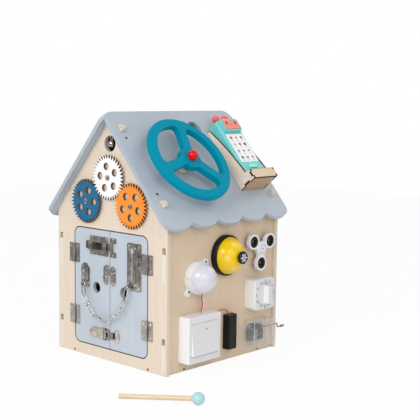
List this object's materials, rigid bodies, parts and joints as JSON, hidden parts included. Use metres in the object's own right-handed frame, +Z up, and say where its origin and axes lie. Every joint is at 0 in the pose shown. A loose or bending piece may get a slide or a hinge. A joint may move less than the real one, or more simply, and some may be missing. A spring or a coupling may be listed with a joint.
{
  "type": "toy busy house",
  "caption": "House-shaped wooden busy board with latched double doors and a chain, meshing gears, steering wheel, toy phone, lamp, bell, spinner, timer, switch and music box.",
  "frame": {"origin": "middle of the floor board's underside, midway between the gables and between the side walls", "axes": "+Z up, -Y out of the front gable with the doors, +X out of the side wall with the lamp and the bell"},
  "size_m": [0.4771, 0.4746, 0.4683],
  "materials": {
    "plywood": "clear satin lacquer",
    "roof_paint": "satin paint over plywood",
    "door_paint": "satin paint over plywood",
    "steel": "satin nickel plate",
    "chrome": "bright plate",
    "white_paint": "satin paint over plywood",
    "blue_paint": "satin paint over plywood",
    "orange_paint": "satin paint over plywood",
    "teal": "soft gloss",
    "red": "gloss",
    "mint": "soft gloss",
    "coral": "soft gloss",
    "white_plastic": "soft gloss",
    "milky": "milky gloss",
    "black_plastic": "matt",
    "yellow": "gloss enamel",
    "wire_red": "soft",
    "clear": "clear plastic",
    "mallet_wood": "smooth"
  },
  "bodies": {
    "house": {"front_gable": "plywood", "rear_gable": "plywood", "left_wall": "plywood", "right_wall": "plywood", "floor_board": "plywood", "roof_left": "roof_paint", "roof_right": "roof_paint", "frame_hinge_leaves": "steel", "gable_bolts": "steel", "wheel_standoff": "plywood", "wheel_knob": "red", "phone_cradle": "plywood", "lamp_base": "white_plastic", "lamp_dome": "milky", "lamp_wires": "wire_red", "battery_wire": "wire_red", "switch_box": "white_plastic", "battery_box": "black_plastic", "desk_bell_base": "black_plastic", "desk_bell_dome": "yellow", "spinner_cap": "white_plastic", "timer_case": "white_plastic", "music_case": "clear", "music_movement": "steel"},
    "left_leaf": {"left_door": "door_paint", "left_hinge_leaves": "steel", "bolt_plate": "steel", "chain_anchor": "steel", "hook_base": "steel", "latch_base": "steel"},
    "right_leaf": {"right_door": "door_paint", "right_hinge_leaves": "steel", "bolt_keeper": "steel", "chain_track": "steel", "hook_catch": "steel", "latch_keeper": "steel"},
    "bolt": {"bolt_slide": "steel"},
    "hook": {"hook": "steel"},
    "lever": {"latch_lever": "steel"},
    "loop": {"latch_loop": "steel"},
    "chain_a": {"chain_upper": "chrome"},
    "chain_b": {"chain_middle": "chrome"},
    "chain_c": {"chain_lower": "chrome"},
    "gear_white": {"white_gear": "white_paint"},
    "gear_blue": {"blue_gear": "blue_paint"},
    "gear_orange": {"orange_gear": "orange_paint"},
    "bell": {"jingle_bell": "chrome"},
    "wheel": {"steering_wheel": "teal"},
    "phone": {"phone_body": "mint", "phone_face": "coral", "phone_keypad": "white_plastic"},
    "phone_key": {"phone_button": "mint"},
    "rocker": {"switch_rocker": "white_plastic"},
    "desk_button": {"desk_bell_button": "black_plastic"},
    "spinner": {"spinner_body": "white_plastic", "spinner_weights": "black_plastic"},
    "dial": {"timer_dial": "white_plastic"},
    "crank": {"music_crank": "chrome"},
    "drum": {"music_cylinder": "steel"},
    "mallet": {"mallet": "mallet_wood"}
  },
  "joints": [
    {"name": "left_door_hinge", "type": "hinge", "parent": "house", "child": "left_leaf", "pos_m": [-0.10013, -0.158, 0.135], "axis": [0, 0, 1], "range_deg": [-110, 0]},
    {"name": "right_door_hinge", "type": "hinge", "parent": "house", "child": "right_leaf", "pos_m": [0.10013, -0.158, 0.135], "axis": [0, 0, 1], "range_deg": [0, 110]},
    {"name": "bolt_slide", "type": "slide", "parent": "left_leaf", "child": "bolt", "axis": [1, 0, 0], "range_m": [-0.006, 0.006]},
    {"name": "hook_swing", "type": "hinge", "parent": "left_leaf", "child": "hook", "pos_m": [-0.0095, -0.158, 0.16], "axis": [0, 1, 0], "range_deg": [-20, 50]},
    {"name": "latch_lever_hinge", "type": "hinge", "parent": "left_leaf", "child": "lever", "pos_m": [-0.017, -0.1577, 0.05], "axis": [0, 0, 1], "range_deg": [0, 110]},
    {"name": "latch_loop_hinge", "type": "hinge", "parent": "left_leaf", "child": "loop", "pos_m": [-0.0125, -0.1577, 0.05], "axis": [0, 0, 1], "range_deg": [-90, 0]},
    {"name": "chain_upper_hinge", "type": "hinge", "parent": "left_leaf", "child": "chain_a", "pos_m": [-0.064, -0.1655, 0.141], "axis": [0, 1, 0], "range_deg": [0, 18]},
    {"name": "chain_middle_hinge", "type": "hinge", "parent": "chain_a", "child": "chain_b", "pos_m": [-0.05214, -0.1655, 0.09963], "axis": [0, 1, 0], "range_deg": [0, 44]},
    {"name": "chain_lower_hinge", "type": "hinge", "parent": "chain_b", "child": "chain_c", "pos_m": [-0.01496, -0.1655, 0.07902], "axis": [0, 1, 0], "range_deg": [0, 10]},
    {"name": "white_gear_spin", "type": "hinge", "parent": "house", "child": "gear_white", "pos_m": [0, -0.159, 0.3475], "axis": [0, 1, 0], "continuous": true},
    {"name": "blue_gear_spin", "type": "hinge", "parent": "house", "child": "gear_blue", "pos_m": [-0.06097, -0.159, 0.2995], "axis": [0, 1, 0], "continuous": true},
    {"name": "orange_gear_spin", "type": "hinge", "parent": "house", "child": "gear_orange", "pos_m": [0.06097, -0.159, 0.2995], "axis": [0, 1, 0], "continuous": true},
    {"name": "jingle_bell_swing", "type": "hinge", "parent": "house", "child": "bell", "pos_m": [0, -0.151, 0.4189], "axis": [0, 1, 0], "range_deg": [-25, 25]},
    {"name": "steering_wheel_turn", "type": "hinge", "parent": "house", "child": "wheel", "pos_m": [0.10113, -0.055, 0.37889], "axis": [0.766, 0, 0.6428], "continuous": true},
    {"name": "phone_lift", "type": "slide", "parent": "house", "child": "phone", "axis": [-0.6428, 0, 0.766], "range_m": [0, 0.15]},
    {"name": "phone_button_press", "type": "slide", "parent": "phone", "child": "phone_key", "axis": [-0.766, 0, -0.6428], "range_m": [0, 0.0015], "stiffness_N_per_m": 200},
    {"name": "switch_rocker_tilt", "type": "hinge", "parent": "house", "child": "rocker", "pos_m": [0.164, -0.077, 0.0615], "axis": [0, 1, 0], "range_deg": [0, 11]},
    {"name": "desk_bell_press", "type": "slide", "parent": "house", "child": "desk_button", "axis": [-1, 0, 0], "range_m": [0, 0.003], "stiffness_N_per_m": 300},
    {"name": "spinner_spin", "type": "hinge", "parent": "house", "child": "spinner", "pos_m": [0.1526, 0.096, 0.2065], "axis": [1, 0, 0], "continuous": true},
    {"name": "timer_dial_turn", "type": "hinge", "parent": "house", "child": "dial", "pos_m": [0.171, 0.09375, 0.1195], "axis": [1, 0, 0], "range_deg": [-330, 0]},
    {"name": "music_crank_turn", "type": "hinge", "parent": "house", "child": "crank", "pos_m": [0.1606, 0.14, 0.0513], "axis": [0, 1, 0], "continuous": true},
    {"name": "music_drum_turn", "type": "hinge", "parent": "house", "child": "drum", "pos_m": [0.1526, 0.104, 0.027], "axis": [0, 0, 1], "continuous": true},
    {"name": "mallet_lift", "type": "slide", "parent": "house", "child": "mallet", "axis": [0, 0, 1], "range_m": [0, 0.12]}
  ],
  "couplings": [
    {"joint": "right_door_hinge", "follows": "left_door_hinge", "ratio": -1},
    {"joint": "chain_upper_hinge", "follows": "left_door_hinge", "ratio": -0.16364},
    {"joint": "chain_middle_hinge", "follows": "left_door_hinge", "ratio": -0.4},
    {"joint": "chain_lower_hinge", "follows": "left_door_hinge", "ratio": -0.090909},
    {"joint": "blue_gear_spin", "follows": "white_gear_spin", "ratio": -1},
    {"joint": "orange_gear_spin", "follows": "white_gear_spin", "ratio": -1},
    {"joint": "music_drum_turn", "follows": "music_crank_turn", "ratio": 0.05}
  ]
}
